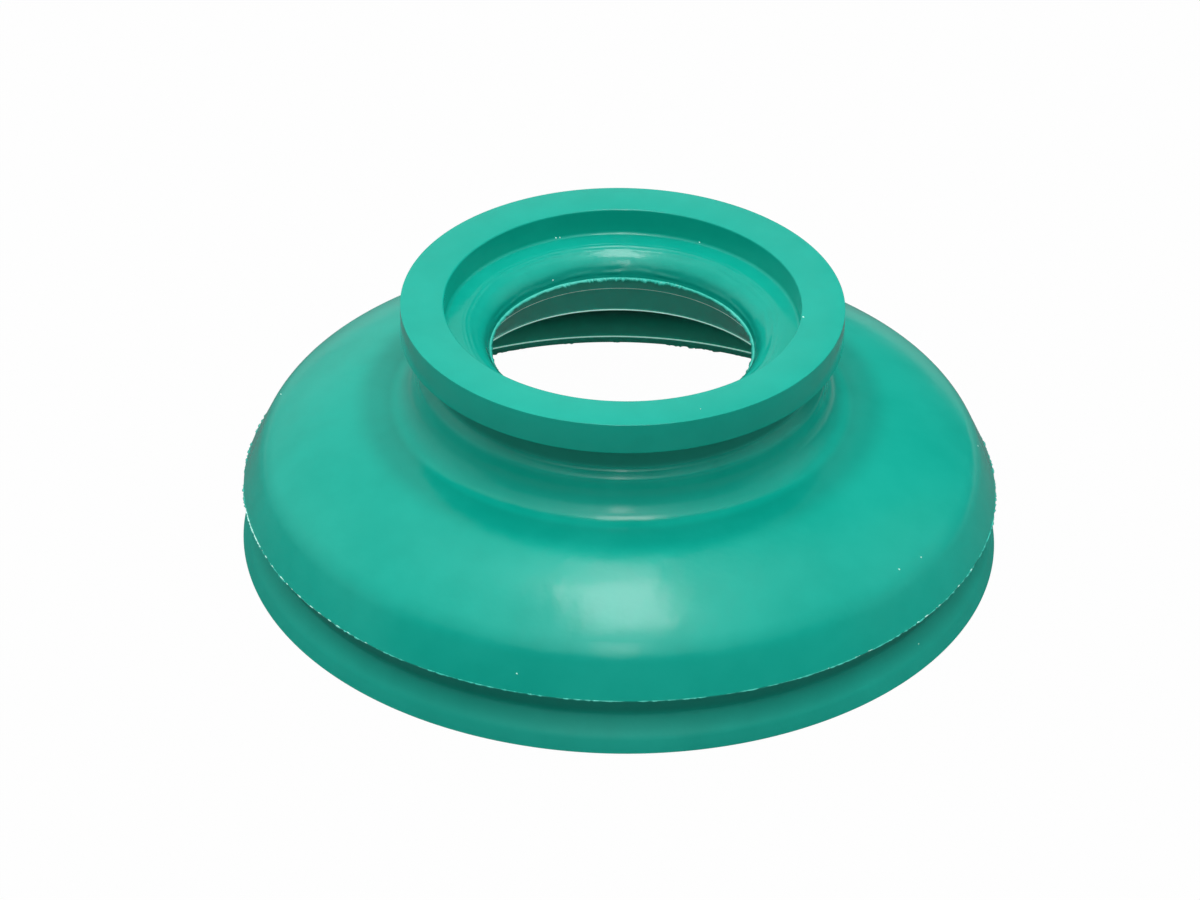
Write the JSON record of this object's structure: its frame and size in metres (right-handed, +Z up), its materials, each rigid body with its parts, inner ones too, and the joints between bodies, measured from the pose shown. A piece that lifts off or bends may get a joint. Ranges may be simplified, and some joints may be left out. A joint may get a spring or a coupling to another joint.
{
  "type": "power valve bellows",
  "caption": "Round moulded rubber bellows: a short neck with a clamp collar and cap seat on a wide domed bell, for sealing the stem of a power valve.",
  "frame": {"origin": "centre of the bottom face, on the axis, at the height of the surface that the part stands on", "axes": "+Z up along the axis, from the bell's mouth to the collar; +X and +Y are any two directions across it, since the part is round"},
  "size_m": [0.045, 0.045, 0.016],
  "materials": {
    "green_rubber": "satin moulded blue-green rubber, slightly soft sheen, ragged flash along the mould's parting edges"
  },
  "bodies": {
    "root": {"bellows": "green_rubber"}
  },
  "joints": []
}
